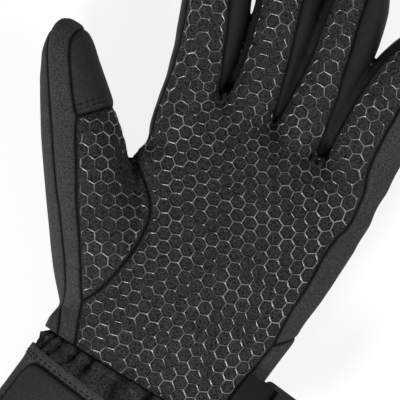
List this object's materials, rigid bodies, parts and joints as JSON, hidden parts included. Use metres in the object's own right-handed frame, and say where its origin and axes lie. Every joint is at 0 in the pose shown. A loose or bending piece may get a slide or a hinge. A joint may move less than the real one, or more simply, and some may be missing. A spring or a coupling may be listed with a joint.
{
  "type": "heated glove",
  "caption": "Left-hand padded winter glove with a raised hexagon grip on the palm, a gathered wrist, a straight gauntlet cuff and a wrist strap with a flat buckle.",
  "frame": {"origin": "under the middle of the glove's box, on the surface it lies on", "axes": "+Y from the wrist to the fingertips, +X towards the little finger's side, +Z out of the palm; the glove lies on its back"},
  "size_m": [0.1698, 0.2994, 0.046],
  "materials": {
    "grip_fabric": "matte knit with thin raised hexagon lines of black silicone",
    "plain_fabric": "matte touch fabric",
    "softshell": "matte softshell",
    "elastic_fabric": "gathered matte fabric",
    "webbing": "woven webbing",
    "black_plastic": "moulded satin"
  },
  "bodies": {
    "root": {"palm_panel": "grip_fabric", "thumb_panel": "grip_fabric", "thumb_cap": "plain_fabric", "thumb_gusset": "softshell", "index_side": "softshell", "fourchette_index_middle": "softshell", "fourchette_middle_ring": "softshell", "fourchette_ring_little": "softshell", "outer_side_panel": "softshell", "wrist_side": "softshell", "back_panel": "softshell", "wrist_band": "elastic_fabric", "cuff_front": "softshell", "cuff_shell": "softshell", "cuff_hem": "softshell", "strap_tab": "webbing", "wrist_strap": "webbing", "buckle": "black_plastic"}
  },
  "joints": []
}
